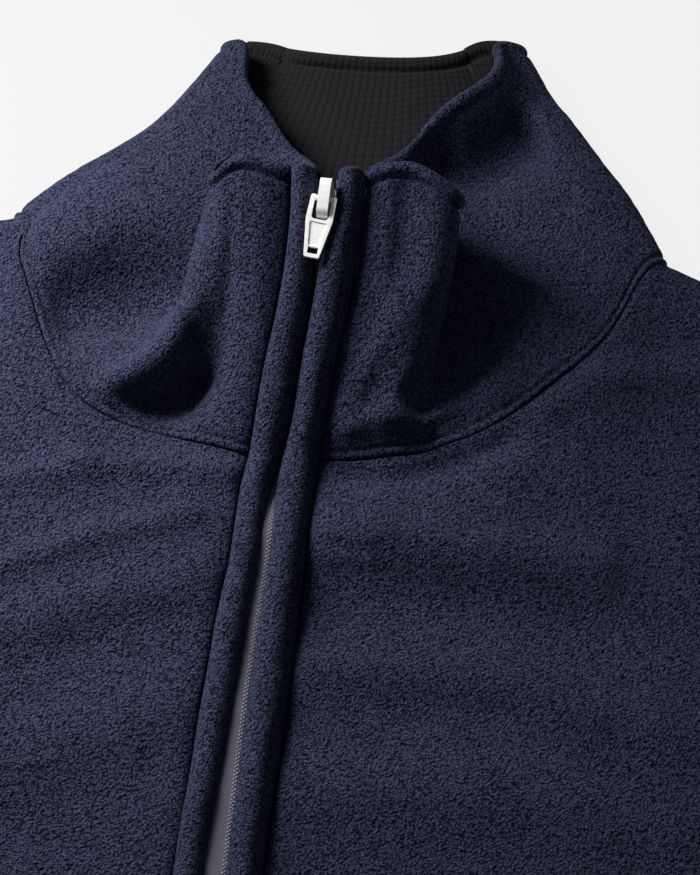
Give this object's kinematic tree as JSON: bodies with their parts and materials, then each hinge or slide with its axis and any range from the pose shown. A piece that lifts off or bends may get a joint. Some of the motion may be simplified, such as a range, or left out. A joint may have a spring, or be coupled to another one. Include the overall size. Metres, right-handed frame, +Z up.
{
  "type": "half-zip track top",
  "caption": "Fleece half-zip track top laid flat on its back, with a stand-up collar, knit collar lining, rolled strips beside the zip and a swinging pull tab.",
  "frame": {"origin": "middle of the garment's plan, on the surface that it lies on", "axes": "+X across the body from the sleeve on the left of the picture to the one on its right, +Y up the body towards the collar, +Z up from the surface"},
  "size_m": [1.283, 0.7765, 0.0487],
  "materials": {
    "navy_fleece": "matt short pile",
    "charcoal_knit": "matt waffle knit",
    "grey_tape": "matt woven",
    "grey_teeth": "matt",
    "white_paint": "satin"
  },
  "bodies": {
    "garment": {"front": "navy_fleece", "back": "navy_fleece", "sleeve_left": "navy_fleece", "sleeve_right": "navy_fleece", "collar": "navy_fleece", "collar_lining": "charcoal_knit", "welt_left": "navy_fleece", "welt_right": "navy_fleece", "zip_tape_left": "grey_tape", "zip_tape_right": "grey_tape", "zip_chain": "grey_teeth", "slider": "white_paint"},
    "pull_tab": {"pull": "white_paint"}
  },
  "joints": [
    {"name": "pull_swing", "type": "hinge", "parent": "garment", "child": "pull_tab", "pos_m": [0.0035, 0.28525, 0.0453], "axis": [-0.9955, 0.0918, 0.0212], "range_deg": [0, 165]}
  ]
}
